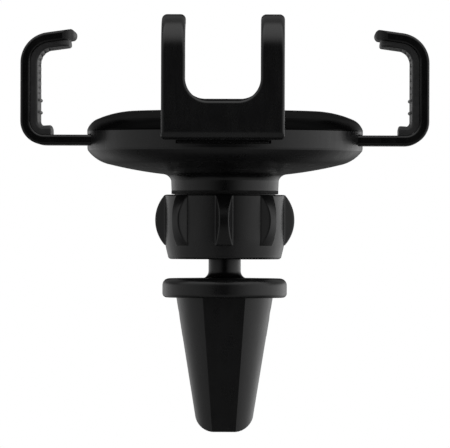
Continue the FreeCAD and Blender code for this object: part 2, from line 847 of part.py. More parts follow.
def pinion(label, side):
    """Eighteen-tooth pinion, which meshes with the foot's rack below and the arm's rack above."""
    body = new_body(label)
    pitch_radius = PINION_TEETH / 2
    root = pitch_radius - DEDENDUM
    tip = pitch_radius + ADDENDUM
    low = D.slide_low
    thick = D.bar_low + D.arm_wall - D.slide_low
    pad(body, circles(body, "XY_Plane", [(0, 0, D.gear_module * root)], low), thick)
    rises = [root - 0.3, root + 0.55, pitch_radius, pitch_radius + 0.5, tip]
    left = [(-tooth_half_width(r) * D.gear_module, -r * D.gear_module) for r in rises]
    right = [(tooth_half_width(r) * D.gear_module, -r * D.gear_module) for r in reversed(rises)]
    tooth = outline(body, "XY_Plane", [*left, *right], low)
    polar(body, pad(body, tooth, thick), PINION_TEETH)
    bore = circles(body, "XY_Plane", [(0, 0, D.axle_radius + 0.08)], low - 1)
    pocket(body, bore, 10)
    # A tooth of the right pinion faces -X, where the foot's rack runs, and the left is its mirror.
    body.Placement = Placement(Vector(), Rotation(Vector(0, 0, 1), -90 * side))
    bind(body, "Placement.Base.x", D.pinion_x * side)
    bind(body, "Placement.Base.y", D.pinion_y)
    keep(body, label)


def rack_tooth(pitch_line, away, centre):
    """The four corners of a rack tooth, given along the rack and away from its body."""
    half = TOOTH_SHARE * math.pi / 2
    slope = math.tan(PRESSURE_ANGLE)
    root = pitch_line - D.gear_module * (DEDENDUM + 0.2) * away
    tip = pitch_line + D.gear_module * ADDENDUM * away
    root_half = D.gear_module * (half + (DEDENDUM + 0.2) * slope)
    tip_half = D.gear_module * (half - ADDENDUM * slope)
    return [
        (centre - root_half, root),
        (centre - tip_half, tip),
        (centre + tip_half, tip),
        (centre + root_half, root),
    ]


def corner_cut(body, role, x, y, radius, across, up, offset=0):
    """Rounds one corner of a wall's outline. The arc starts and ends just outside the wall."""
    over = 0.05
    corner = [
        (x - radius * across, y + over * up),
        (x + over * across, y - radius * up, radius * (-1.1 * across * up)),
        (x + 3 * across, y - radius * up),
        (x + 3 * across, y + 3 * up),
        (x - radius * across, y + 3 * up),
    ]
    pocket(body, outline(body, role, corner, offset), 60)


# ------------------------------------------------------------------ arms


def hook_path(outer, low, straight_top, low_bend, top_bend, tip, inset, end_inset=0):
    """The points of a hook's wall at an inset from its outside: up from the low bend to the tip."""
    turn = math.pi / 2 - HOOK_SLOPE
    bend = top_bend - inset
    centre_x = outer - top_bend
    end_x = centre_x + bend * math.cos(turn)
    end_z = straight_top + bend * math.sin(turn)
    length = tip - end_inset
    return [
        (outer - low_bend, low + inset),
        (outer - inset, low + low_bend, low_bend - inset),
        (outer - inset, straight_top),
        (end_x, end_z, bend),
        (end_x - length * math.cos(HOOK_SLOPE), end_z + length * math.sin(HOOK_SLOPE)),
    ]


def backwards(points):
    """The same outline walked the other way, so each arc keeps its place and changes its sense."""
    radii = [point[2] if len(point) > 2 else None for point in points]
    walked = []
    for i in range(len(points) - 1, -1, -1):
        arriving = radii[i + 1] if i + 1 < len(points) else None
        spot = tuple(points[i][:2])
        walked.append(spot if arriving is None else (*spot, -arriving))
    return walked


def arm(label, side):
    """Bar, C-shaped hook and rack of one side arm."""
    body = new_body(label)
    shape = (D.arm_reach, D.bar_low, D.arm_straight_top, D.arm_low_bend, D.arm_top_bend)
    outer = hook_path(*shape, D.arm_tip_length, as_size(0))
    inner = hook_path(*shape, D.arm_tip_length, D.arm_wall)
    back = backwards(inner)
    bar_start = D.pinion_x + 9.3
    cap = D.arm_wall * 0.53
    profile = [(bar_start, D.bar_low), *outer, (*back[0], cap), *back[1:]]
    profile.append((bar_start, D.bar_low + D.arm_wall))
    sketch = outline(body, "XZ_Plane", profile, side=side)
    pad(body, sketch, D.arm_half_depth * 2, middle=True)
    half_depth = SIZES["arm_half_depth"]
    round_edges(body, 0.5, lambda box: near(abs(box.YMin), half_depth) and box.YLength < 0.01)
    tip_x = D.arm_reach - D.arm_top_bend * (1 - math.sin(HOOK_SLOPE))
    tip_x = tip_x - D.arm_tip_length * math.cos(HOOK_SLOPE) - 1.0
    for end in (1, -1):
        corner_cut(body, "XY_Plane", tip_x * side, D.arm_half_depth * end, D.arm_tip_corner, -side, end, 42)

    pitch_radius = PINION_TEETH / 2
    pitch_line = D.pinion_y + D.gear_module * pitch_radius
    root_line = pitch_line + D.gear_module * DEDENDUM
    inner_x, outer_x = sorted((5.0 * side, 24.5 * side))
    strip = rectangle(body, "XY_Plane", (inner_x, root_line), (outer_x, D.arm_half_depth), D.bar_low)
    pad(body, strip, D.arm_wall)
    # One tooth lies straight over the pinion's centre, and the row covers the whole travel.
    pitch = math.pi
    before = 4
    count = 8
    centre = D.pinion_x - D.gear_module * (pitch * before)
    corners = rack_tooth(pitch_line, -1, centre)
    tooth = pad(body, outline(body, "XY_Plane", corners, D.bar_low, side=side), D.arm_wall)
    row = linear(body, tooth, "X_Axis", D.gear_module * (pitch * (count - 1)), count)
    row.Reversed = side < 0
    doc.recompute()
    keep(body, label)


def arm_pad(label, side):
    """Soft liner inside one arm, from a heel on the bar to just short of the hook's tip."""
    body = new_body(label)
    shape = (D.arm_reach, D.bar_low, D.arm_straight_top, D.arm_low_bend, D.arm_top_bend)
    outer = hook_path(*shape, D.arm_tip_length, D.arm_wall + 0.02, 0.5)
    inner = hook_path(*shape, D.arm_tip_length, D.arm_wall + D.pad_wall, 0.7)
    back = backwards(inner)
    heel = D.arm_reach - D.pad_heel
    profile = [
        (heel, D.bar_low + D.arm_wall + 0.02),
        *outer,
        (*back[0], D.pad_wall * 0.6),
        *back[1:],
        (heel + 0.5, D.bar_low + D.arm_wall + D.pad_wall),
        (heel, D.bar_low + D.arm_wall + D.pad_wall - 0.5, 0.5),
    ]
    sketch = outline(body, "XZ_Plane", profile, side=side)
    pad(body, sketch, D.arm_half_depth * 2 - 0.8, middle=True)
    keep(body, label)


# ------------------------------------------------------------------ foot


def notch_outline(body):
    """The cable notch between the foot's two posts, seen from the front."""
    corner = D.notch_corner
    points = [
        (-D.notch_half + corner, D.notch_low),
        (D.notch_half - corner, D.notch_low),
        (D.notch_half, D.notch_low + corner, corner),
        (D.notch_half, 60),
        (-D.notch_half, 60),
        (-D.notch_half, D.notch_low + corner),
    ]
    points[0] = (*points[0], corner)
    return outline(body, "XZ_Plane", points)


def foot():
    """U-shaped wall with two posts that hook over the phone's lower end."""
    body = new_body("foot")
    low_bend = as_size(2.0)
    shape = (D.foot_front, D.foot_low, D.foot_straight_top, low_bend, D.foot_top_bend)
    outer = hook_path(*shape, D.foot_tip_length, as_size(0))
    inner = hook_path(*shape, D.foot_tip_length, D.foot_wall)
    inner = [(D.foot_front - D.foot_wall, D.foot_low), *inner[2:]]
    cap = D.foot_wall * 0.53
    back = backwards(inner)
    profile = [*outer, (*back[0], cap), *back[1:]]
    # The sketch plane looks along X, and the foot lies towards -Y: its outline is mirrored.
    pad(body, outline(body, "YZ_Plane", profile, side=-1), D.foot_half_width * 2, middle=True)
    pocket(body, notch_outline(body), 60)
    half_width = SIZES["foot_half_width"]
    notch_half = SIZES["notch_half"]

    def along_a_side(box):
        flat = box.XLength < 0.01
        return flat and (near(abs(box.XMin), half_width) or near(abs(box.XMin), notch_half))

    round_edges(body, 0.5, along_a_side)
    keep(body, "foot")


def foot_slide():
    """Plate moulded onto the foot: a wide tongue, a step, and a toothed leaf inside the disc."""
    body = new_body("foot_slide")
    top = D.bar_low + D.arm_wall + 0.1
    step = D.bar_low + 0.12
    tongue = rectangle(
        body, "XY_Plane", (-D.plate_half_width, -(D.foot_front - D.foot_wall)),
        (D.plate_half_width, -18.5), step)
    pad(body, tongue, top - step)
    neck = rectangle(body, "XY_Plane", (-7.6, -19), (7.6, -7), D.slide_step - 0.1)
    pad(body, neck, top - D.slide_step + 0.1)
    pitch_line = D.pinion_x - D.gear_module * (PINION_TEETH / 2)
    root_line = pitch_line - D.gear_module * DEDENDUM
    leaf = rectangle(body, "XY_Plane", (-root_line, -17.5), (root_line, 4), D.slide_low)
    pad(body, leaf, D.slide_step - D.slide_low)
    window = rectangle(body, "XY_Plane", (-2.2, -6), (2.2, -1), D.slide_low - 1)
    pocket(body, window, 8)
    peg = circles(body, "XY_Plane", [(0, 2.4, 0.6)], D.slide_step - 0.3)
    pad(body, peg, 2.3)

    # A gap between two teeth faces each pinion's centre.
    pitch = math.pi
    count = 7
    first = D.pinion_y - D.gear_module * (pitch * 4.5)
    for side in (1, -1):
        corners = [(y, x) for x, y in rack_tooth(pitch_line, 1, first)]
        if side > 0:
            corners.reverse()
        ordered = [(x * side, y) for x, y in corners]
        tooth = pad(body, outline(body, "XY_Plane", ordered, D.slide_low), D.slide_step - D.slide_low)
        linear(body, tooth, "Y_Axis", D.gear_module * (pitch * (count - 1)), count)
    keep(body, "foot_slide")


def foot_pad():
    """Soft liner behind the foot's wall and under its two hooks."""
    body = new_body("foot_pad")
    shape = (D.foot_front, D.foot_low, D.foot_straight_top, as_size(2.0), D.foot_top_bend)
    outer = hook_path(*shape, D.foot_tip_length, D.foot_wall + 0.02, 0.4)
    inner = hook_path(*shape, D.foot_tip_length, D.foot_wall + D.foot_pad_wall, 0.6)
    low = D.face_height + 0.4
    outer = [(D.foot_front - D.foot_wall - 0.02, low), *outer[2:]]
    inner = [(D.foot_front - D.foot_wall - D.foot_pad_wall, low), *inner[2:]]
    back = backwards(inner)
    profile = [*outer, (*back[0], D.foot_pad_wall * 0.6), *back[1:]]
    width = (D.foot_half_width - 0.5) * 2
    pad(body, outline(body, "YZ_Plane", profile, side=-1), width, middle=True)
    corner = D.notch_corner
    half = D.notch_half + 0.5
    low = D.notch_low + 0.4
    points = [
        (-half + corner, low),
        (half - corner, low),
        (half, low + corner, corner),
        (half, 60),
        (-half, 60),
        (-half, low + corner),
    ]
    points[0] = (*points[0], corner)
    pocket(body, outline(body, "XZ_Plane", points), 60)
    keep(body, "foot_pad")


def return_spring():
    """Extension spring along the middle, from the slide plate's peg to the housing's stud."""
    height = D.slide_step + 1.1
    start = 4.0
    turns = 15
    coil = doc.addObject("Part::Helix", "ReturnCoilPath")
    bind(coil, "Radius", D.spring_radius)
    bind(coil, "Pitch", D.spring_pitch)
    bind(coil, "Height", D.spring_pitch * turns)
    coil.Placement = Placement(Vector(0, start, height.value), Rotation(Vector(1, 0, 0), -90))
    ring = doc.addObject("Part::Circle", "ReturnWireSection")
    bind(ring, "Radius", D.spring_wire)
    doc.recompute()
    heading = coil.Shape.Edges[0].tangentAt(coil.Shape.Edges[0].FirstParameter)
    ring.Placement = Placement(coil.Shape.Vertexes[0].Point, Rotation(Vector(0, 0, 1), heading))
    sweep = doc.addObject("Part::Sweep", "ReturnCoil")
    sweep.Sections = [ring]
    sweep.Spine = (coil, [])
    sweep.Solid = True
    sweep.Frenet = True
    end = D.spring_pitch * turns + start
    spots = [(start - 0.9, 1.0), (end.value - 0.1, 2.4)]
    hooks = []
    for spot, length in spots:
        hooks.append(cylinder(D.spring_wire, length, (D.spring_radius, spot, height), (0, 1, 0)))
    compound("return_spring", [sweep, *hooks])


# ------------------------------------------------------------------ the whole mount

ball_stud()
clip_jaw("clip_jaw_front", -1)
clip_jaw("clip_jaw_rear", 1)
jaw_liner("jaw_liner_front", -1)
jaw_liner("jaw_liner_rear", 1)
jaw_pin = cylinder(D.pin_radius, D.pin_half_length * 2, (-D.pin_half_length, 0, -D.pin_depth), (1, 0, 0))
keep(jaw_pin, "jaw_pin")
jaw_spring()
ball_cup()
split_collet()
clamp_ring()
lock_nut()
rear_housing()
front_cover()
front_pad()
retainer_plate()
compound("cover_screws", [cover_screw(x, y) for x, y in screw_spots()])
axle_low = D.floor_height - 1.2
axle_length = D.plate_low + D.plate_thick - axle_low
axles = [cylinder(D.axle_radius, axle_length, (D.pinion_x * side, D.pinion_y, axle_low)) for side in (1, -1)]
compound("pinion_axles", axles)
for name, side in (("left", -1), ("right", 1)):
    pinion(f"{name}_pinion", side)
    arm(f"{name}_arm", side)
    arm_pad(f"{name}_arm_pad", side)
foot()
foot_slide()
foot_pad()
return_spring()

doc.recompute()
for thing in doc.Objects:
    if "Invalid" in thing.State or "Error" in thing.State:
        raise RuntimeError(f"{thing.Name} ({thing.Label}) failed: {thing.State}")
os.makedirs("parts", exist_ok=True)
for thing in subparts:
    shape = thing.Shape
    if shape.isNull() or not shape.isValid() or shape.Volume <= 0:
        raise RuntimeError(f"{thing.Label} has no valid shape")
    shape.exportStep(os.path.join("parts", thing.Label + ".step"))
    print(f"{thing.Label}: {len(shape.Solids)} solid(s), {shape.Volume:.1f} mm3")
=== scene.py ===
import json
import math

import bmesh
import bpy
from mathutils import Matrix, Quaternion, Vector


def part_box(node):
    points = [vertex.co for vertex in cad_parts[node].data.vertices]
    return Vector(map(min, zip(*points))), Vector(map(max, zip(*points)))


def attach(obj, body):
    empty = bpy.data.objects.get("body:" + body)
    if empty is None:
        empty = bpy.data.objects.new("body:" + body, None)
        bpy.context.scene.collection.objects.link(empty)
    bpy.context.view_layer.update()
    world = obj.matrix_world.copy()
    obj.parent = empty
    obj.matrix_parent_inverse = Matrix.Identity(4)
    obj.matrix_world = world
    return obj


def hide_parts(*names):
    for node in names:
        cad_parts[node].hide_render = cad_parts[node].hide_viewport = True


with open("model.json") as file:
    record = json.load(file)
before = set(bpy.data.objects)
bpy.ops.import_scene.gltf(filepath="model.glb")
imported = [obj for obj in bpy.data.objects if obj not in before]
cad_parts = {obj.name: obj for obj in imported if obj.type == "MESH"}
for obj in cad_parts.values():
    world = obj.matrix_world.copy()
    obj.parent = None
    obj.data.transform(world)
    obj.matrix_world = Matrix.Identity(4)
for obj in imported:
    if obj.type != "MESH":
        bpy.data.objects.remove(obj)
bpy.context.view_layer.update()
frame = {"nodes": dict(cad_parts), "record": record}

# A gravity phone mount for an air vent, in metres. The lock nut, the foot's wall, the liners and the
# pads are made here in detail, in place of the CAD's plain ones. The rest is the CAD's own meshes.

MM = 0.001
SHARP_ANGLE = math.radians(50)
MERGE_DISTANCE = 1e-7
scene = bpy.context.scene


# ---------------------------------------------------------------- materials

# A colour mix's two colours and its result, which share their names with its other sockets.
FIRST_COLOUR = 6
SECOND_COLOUR = 7
MIXED_COLOUR = 2


class Nodes:
    """A material's node tree, with short ways to add and join nodes."""

    def __init__(self, name):
        self.material = bpy.data.materials.new(name)
        self.material.use_nodes = True
        self.tree = self.material.node_tree
        self.tree.nodes.clear()
        self.output = self.add("ShaderNodeOutputMaterial")
        self.shader = self.add("ShaderNodeBsdfPrincipled")
        self.join(self.shader, "BSDF", self.output, "Surface")
        self.place = self.add("ShaderNodeTexCoord")

    def add(self, kind, **settings):
        node = self.tree.nodes.new(kind)
        for key, value in settings.items():
            setattr(node, key, value)
        return node

    def join(self, source, output, target, socket):
        self.tree.links.new(source.outputs[output], target.inputs[socket])

    def noise(self, size, detail=2.0, rough=0.5, stretch=None):
        """Noise whose grains are about `size` metres across."""
        node = self.add("ShaderNodeTexNoise")
        node.inputs["Scale"].default_value = 1 / size
        node.inputs["Detail"].default_value = detail
        node.inputs["Roughness"].default_value = rough
        if stretch:
            mapping = self.add("ShaderNodeMapping")
            mapping.inputs["Scale"].default_value = stretch
            self.join(self.place, "Object", mapping, "Vector")
            self.join(mapping, "Vector", node, "Vector")
        else:
            self.join(self.place, "Object", node, "Vector")
        return node

    def spread(self, source, output, low, high, start=0.3, end=0.7):
        """Maps a noise's middle range to low..high."""
        node = self.add("ShaderNodeMapRange")
        node.inputs["From Min"].default_value = start
        node.inputs["From Max"].default_value = end
        node.inputs["To Min"].default_value = low
        node.inputs["To Max"].default_value = high
        self.join(source, output, node, "Value")
        return node

    def blend_colours(self, factor, output, first, second):
        node = self.add("ShaderNodeMix", data_type="RGBA")
        node.inputs[FIRST_COLOUR].default_value = (*first, 1)
        node.inputs[SECOND_COLOUR].default_value = (*second, 1)
        self.join(factor, output, node, "Factor")
        return node

    def bump(self, source, output, strength, height, under=None):
        node = self.add("ShaderNodeBump")
        node.inputs["Strength"].default_value = strength
        node.inputs["Distance"].default_value = height
        self.join(source, output, node, "Height")
        if under:
            self.join(under, "Normal", node, "Normal")
        return node


def edge_mask(nodes, width):
    """Nearly 1 along worn edges and 0 on the open faces; the lighter edges made from it are partly wear and
    partly painted highlight.
    """
    bevel = nodes.add("ShaderNodeBevel", samples=4)
    bevel.inputs["Radius"].default_value = width
    geometry = nodes.add("ShaderNodeNewGeometry")
    dot = nodes.add("ShaderNodeVectorMath", operation="DOT_PRODUCT")
    nodes.join(bevel, "Normal", dot, 0)
    nodes.join(geometry, "Normal", dot, 1)
    return nodes.spread(dot, "Value", 1.0, 0.0, 0.80, 0.995)


def plastic(name, colour, rough, grain=0.00012, grain_height=0.000006, wear_and_edge_highlight=0.35, spread=0.05,
            gloss=0.5):
    """Moulded satin plastic: a spark-eroded grain, faint handling marks, and polished, lighter edges that
    are partly rubbed wear and partly painted highlight.
    """
    nodes = Nodes(name)
    shader = nodes.shader
    cloud = nodes.noise(0.006, 4.0, 0.55)
    fine = nodes.noise(grain, 3.0, 0.6)
    smear = nodes.noise(0.0016, 5.0, 0.6, (1.0, 1.0, 0.25))
    darker = tuple(c * 0.8 for c in colour)
    lighter = tuple(c * 1.25 for c in colour)
    tint = nodes.blend_colours(nodes.spread(cloud, "Fac", 0, 1), "Result", darker, lighter)
    worn_and_highlit_edges = edge_mask(nodes, 0.00025)
    patch = nodes.spread(smear, "Fac", 0.0, wear_and_edge_highlight, 0.45, 0.75)
    wear_and_highlight_patch = nodes.add("ShaderNodeMath", operation="MULTIPLY")
    nodes.join(worn_and_highlit_edges, "Result", wear_and_highlight_patch, 0)
    nodes.join(patch, "Result", wear_and_highlight_patch, 1)
    # Lighter colour along the edges in patches: rubbed wear, and on the foot, with its large share, painted
    # highlight along its edges.
    rubbed_and_highlit = nodes.add("ShaderNodeMix", data_type="RGBA")
    nodes.join(wear_and_highlight_patch, "Value", rubbed_and_highlit, "Factor")
    nodes.join(tint, MIXED_COLOUR, rubbed_and_highlit, FIRST_COLOUR)
    rubbed_and_highlit.inputs[SECOND_COLOUR].default_value = (*(min(1.0, c * 2.2 + 0.008) for c in colour), 1)
    nodes.join(rubbed_and_highlit, MIXED_COLOUR, shader, "Base Color")
    base = nodes.spread(smear, "Fac", rough - spread, rough + spread)
    edge_shine = nodes.spread(wear_and_highlight_patch, "Value", 0.0, -0.12, 0.0, 1.0)
    total = nodes.add("ShaderNodeMath", operation="ADD")
    nodes.join(base, "Result", total, 0)
    nodes.join(edge_shine, "Result", total, 1)
    nodes.join(total, "Value", shader, "Roughness")
    coarse_bump = nodes.bump(cloud, "Fac", 0.10, 0.00008)
    fine_bump = nodes.bump(fine, "Fac", 0.5, grain_height, coarse_bump)
    nodes.join(fine_bump, "Normal", shader, "Normal")
    shader.inputs["Specular IOR Level"].default_value = gloss
    return nodes.material


def rubber(name, colour, rough):
    """Soft silicone: a dull, finely pitted skin with a little dust on it."""
    nodes = Nodes(name)
    shader = nodes.shader
    cloud = nodes.noise(0.003, 4.0, 0.6)
    pits = nodes.add("ShaderNodeTexVoronoi")
    pits.inputs["Scale"].default_value = 1 / 0.00022
    nodes.join(nodes.place, "Object", pits, "Vector")
    dust = nodes.noise(0.0007, 6.0, 0.7)
    dusty = nodes.spread(dust, "Fac", 0.0, 1.0, 0.5, 0.8)
    tint = nodes.blend_colours(dusty, "Result", colour, tuple(c * 1.7 + 0.004 for c in colour))
    nodes.join(tint, MIXED_COLOUR, shader, "Base Color")
    nodes.join(nodes.spread(cloud, "Fac", rough - 0.07, rough + 0.07), "Result", shader, "Roughness")
    coarse = nodes.bump(cloud, "Fac", 0.12, 0.00006)
    nodes.join(nodes.bump(pits, "Distance", 0.4, 0.00001, coarse), "Normal", shader, "Normal")
    shader.inputs["Sheen Weight"].default_value = 0.2
    shader.inputs["Sheen Roughness"].default_value = 0.5
    return nodes.material


def hard_white(name, colour, rough, clear):
    """Natural nylon or acetal: waxy, a little cloudy, with fine flow marks."""
    nodes = Nodes(name)
    shader = nodes.shader
    flow = nodes.noise(0.0012, 5.0, 0.55, (1.0, 1.0, 0.3))
    tint = nodes.blend_colours(nodes.spread(flow, "Fac", 0, 1), "Result",
                               tuple(c * 0.9 for c in colour), tuple(min(1, c * 1.06) for c in colour))
    nodes.join(tint, MIXED_COLOUR, shader, "Base Color")
    nodes.join(nodes.spread(flow, "Fac", rough - 0.05, rough + 0.06), "Result", shader, "Roughness")
    nodes.join(nodes.bump(nodes.noise(0.00015), "Fac", 0.25, 0.000008), "Normal", shader, "Normal")
    shader.inputs["Subsurface Weight"].default_value = clear
    shader.inputs["Subsurface Scale"].default_value = 0.0008
    return nodes.material


def plated(name, colour, rough):
    """Zinc-plated steel with drawn lines and small dull spots."""
    nodes = Nodes(name)
    shader = nodes.shader
    shader.inputs["Metallic"].default_value = 1.0
    drawn = nodes.noise(0.0004, 6.0, 0.6, (0.15, 1.0, 1.0))
    spots = nodes.noise(0.0009, 4.0, 0.6)
    tint = nodes.blend_colours(nodes.spread(spots, "Fac", 0, 1, 0.4, 0.75), "Result", colour,
                               tuple(c * 0.72 for c in colour))
    nodes.join(tint, MIXED_COLOUR, shader, "Base Color")
    nodes.join(nodes.spread(drawn, "Fac", rough - 0.08, rough + 0.12), "Result", shader, "Roughness")
    nodes.join(nodes.bump(drawn, "Fac", 0.3, 0.00001), "Normal", shader, "Normal")
    return nodes.material


def studio_floor(name):
    nodes = Nodes(name)
    cloud = nodes.noise(0.2, 4.0)
    tint = nodes.blend_colours(nodes.spread(cloud, "Fac", 0, 1), "Result", (0.80, 0.80, 0.80),
                               (0.84, 0.84, 0.84))
    nodes.join(tint, MIXED_COLOUR, nodes.shader, "Base Color")
    nodes.shader.inputs["Roughness"].default_value = 0.8
    nodes.shader.inputs["Specular IOR Level"].default_value = 0.2
    return nodes.material


FINISH = {
    "body_plastic": plastic("satin_black_body", (0.0043, 0.0043, 0.0046), 0.30, wear_and_edge_highlight=0.2),
    # The cover's very dark base colour and low specular level are painted shade, standing in for the shadow
    # of the phone held above it.
    "cover_plastic": plastic("smooth_black_cover_painted_shade", (0.0014, 0.0014, 0.0015), 0.28, grain=0.00009,
                             grain_height=0.000001, wear_and_edge_highlight=0.15, spread=0.03, gloss=0.025),
    "arm_plastic": plastic("black_arm", (0.0014, 0.0014, 0.0016), 0.27, grain=0.0001,
                           grain_height=0.0000015, wear_and_edge_highlight=0.2, spread=0.04),
    "grip_rubber": rubber("black_silicone", (0.0110, 0.0110, 0.0116), 0.48),
    "inner_nylon": hard_white("natural_nylon", (0.55, 0.54, 0.50), 0.45, 0.1),
    "gear_acetal": hard_white("white_acetal", (0.72, 0.71, 0.67), 0.33, 0.1),
    "steel": plated("plated_steel", (0.56, 0.56, 0.57), 0.3),
}
# The foot: a copy of the arms' black plastic with a lighter base colour, whose large wear share lightens its
# edges as painted highlight.
FOOT_FINISH = plastic("satin_black_foot", (0.0050, 0.0050, 0.0053), 0.26, grain=0.00011,
                      grain_height=0.000002, wear_and_edge_highlight=0.6, spread=0.04, gloss=0.6)
# Near-black dull rubber for the ring below the neck: painted shade for the shaded step there.
SHADE_RING_FINISH = rubber("painted_shade_black", (0.0012, 0.0012, 0.0013), 0.75)
slots = {part["node"]: part["material_slot"] for part in frame["record"]["subparts"]}
for name, thing in frame["nodes"].items():
    thing.data.materials.clear()
    thing.data.materials.append(FINISH[slots[name]])


# ---------------------------------------------------------------- shapes for the pieces made here


def mount(name, mesh, body, node, slot=None):
    """Shades a mesh smoothly, finishes it and puts it on a body, in place of a node if one is given."""
    slot = slot or slots[node]
    piece = bpy.data.objects.new(name, mesh)
    scene.collection.objects.link(piece)
    for polygon in mesh.polygons:
        polygon.use_smooth = True
    mesh.materials.append(FINISH[slot])
    mesh.set_sharp_from_angle(angle=SHARP_ANGLE)
    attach(piece, body)
    if node:
        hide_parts(node)
    return piece


def turned(name, loop, angles, body, node, slot=None, swell=None):
    """A closed ring: a loop of (radius, z, outside) spots carried round the Z axis."""
    mesh = bpy.data.meshes.new(name)
    build = bmesh.new()
    columns = []
    for angle in angles:
        column = []
        for radius, z, outside in loop:
            reach = radius + (swell(angle, radius, z) if outside and swell else 0.0)
            column.append(build.verts.new((reach * math.cos(angle), reach * math.sin(angle), z)))
        columns.append(column)
    for one, two in zip(columns, (*columns[1:], columns[0])):
        for i in range(len(loop)):
            j = (i + 1) % len(loop)
            build.faces.new((one[i], two[i], two[j], one[j]))
    bmesh.ops.recalc_face_normals(build, faces=build.faces)
    build.to_mesh(mesh)
    build.free()
    return mount(name, mesh, body, node, slot)


def slab(name, spots, faces, inner, outer, body, node):
    """A closed moulding between two skins over the same grid, with walls along its free edges."""
    mesh = bpy.data.meshes.new(name)
    build = bmesh.new()
    near = [build.verts.new(outer(*spot)) for spot in spots]
    far = [build.verts.new(inner(*spot)) for spot in spots]
    edges = {}
    for face in faces:
        build.faces.new([near[i] for i in face])
        build.faces.new([far[i] for i in reversed(face)])
        for first, second in zip(face, (*face[1:], face[0])):
            edges[(first, second)] = True
    for first, second in edges:
        if (second, first) not in edges:
            build.faces.new((near[second], near[first], far[first], far[second]))
    loose = [v for v in build.verts if not v.link_faces]
    bmesh.ops.delete(build, geom=loose, context="VERTS")
    bmesh.ops.remove_doubles(build, verts=build.verts, dist=MERGE_DISTANCE)
    bmesh.ops.recalc_face_normals(build, faces=build.faces)
    build.to_mesh(mesh)
    build.free()
    return mount(name, mesh, body, node)


def grid(rows, columns):
    """Faces of a grid of rows x columns spots, stored row by row."""
    return [
        (r * columns + c, r * columns + c + 1, (r + 1) * columns + c + 1, (r + 1) * columns + c)
        for r in range(rows - 1)
        for c in range(columns - 1)
    ]


def rounding(distance, radius):
    """How far a rounded edge falls back at a distance from the edge."""
    if distance >= radius:
        return 0.0
    inset = radius - max(distance, 0.0)
    return radius - math.sqrt(max(radius * radius - inset * inset, 0.0))


def spaced(low, high, steps, border):
    """Values from low to high, close together near both ends."""
    ends = [0.0, 0.08, 0.2, 0.36, 0.56, 0.78, 1.0]
    inside = high - low - 2 * border
    values = [low + border * e for e in ends]
    values += [low + border + inside * i / steps for i in range(1, steps)]
    values += [high - border * e for e in reversed(ends)]
    return values


def ridge(position, pitch, share):
    """1 on top of a row of round ridges and 0 between them."""
    phase = abs((position / pitch) % 1.0 - 0.5) * 2
    if phase >= share:
        return 0.0
    return math.sqrt(1 - (phase / share) ** 2)


class Hook:
    """The outline of a C-shaped wall: a path of lines and arcs, measured by its length s."""

    def __init__(self, legs):
        self.runs = []
        self.length = 0.0
        for leg in legs:
            size = leg[-1]
            self.runs.append((self.length, self.length + size, leg))
            self.length += size

    def at(self, s, inset):
        """The spot at a length along the path and an inset from it, as (reach, height)."""
        start, leg = next((start, leg) for start, end, leg in self.runs if s <= end + 1e-12)
        along = s - start
        if leg[0] == "line":
            _, origin, heading, normal, _ = leg
            return tuple(origin[i] + heading[i] * along + normal[i] * inset for i in (0, 1))
        _, centre, radius, begin, _ = leg
        angle = begin + along / radius
        reach = radius - inset
        return centre[0] + math.cos(angle) * reach, centre[1] + math.sin(angle) * reach


def c_hook(reach, low, low_bend, straight_top, top_bend, tip, slope, heel):
    """From a heel on the bar, round the low bend, up, and over the top bend to the tip."""
    legs = []
    if heel:
        start = (reach - low_bend - heel, low)
        centre = (reach - low_bend, low + low_bend)
        legs.append(("line", start, (1, 0), (0, 1), heel))
        legs.append(("arc", centre, low_bend, -math.pi / 2, low_bend * math.pi / 2))
    foot_of_wall = low + low_bend
    legs.append(("line", (reach, foot_of_wall), (0, 1), (-1, 0), straight_top - foot_of_wall))
    turn = math.pi / 2 - slope
    legs.append(("arc", (reach - top_bend, straight_top), top_bend, 0.0, top_bend * turn))
    end = (reach - top_bend + top_bend * math.cos(turn), straight_top + top_bend * math.sin(turn))
    heading = (-math.cos(slope), math.sin(slope))
    normal = (-math.sin(slope), -math.cos(slope))
    legs.append(("line", end, heading, normal, tip))
    return Hook(legs)


HOOK_SLOPE = math.radians(8)
SIDE_EDGE = 0.45 * MM
GRIP_PITCH = 1.4 * MM
GRIP_SHARE = 0.45

# ---------------------------------------------------------------- arms' liners

ARM_LOW_BEND = 4.5 * MM
ARM_TOP_BEND = 5.8 * MM
ARM_STRAIGHT_TOP = 44.55 * MM
ARM_TIP = 4.6 * MM
ARM_WALL = 1.92 * MM
LINER_HEEL = 1.3 * MM
LINER_TIP_CORNER = 2.7 * MM
BEAD_HEIGHTS = (35.2 * MM, 37.5 * MM)
BEAD_SIZE = 0.3 * MM


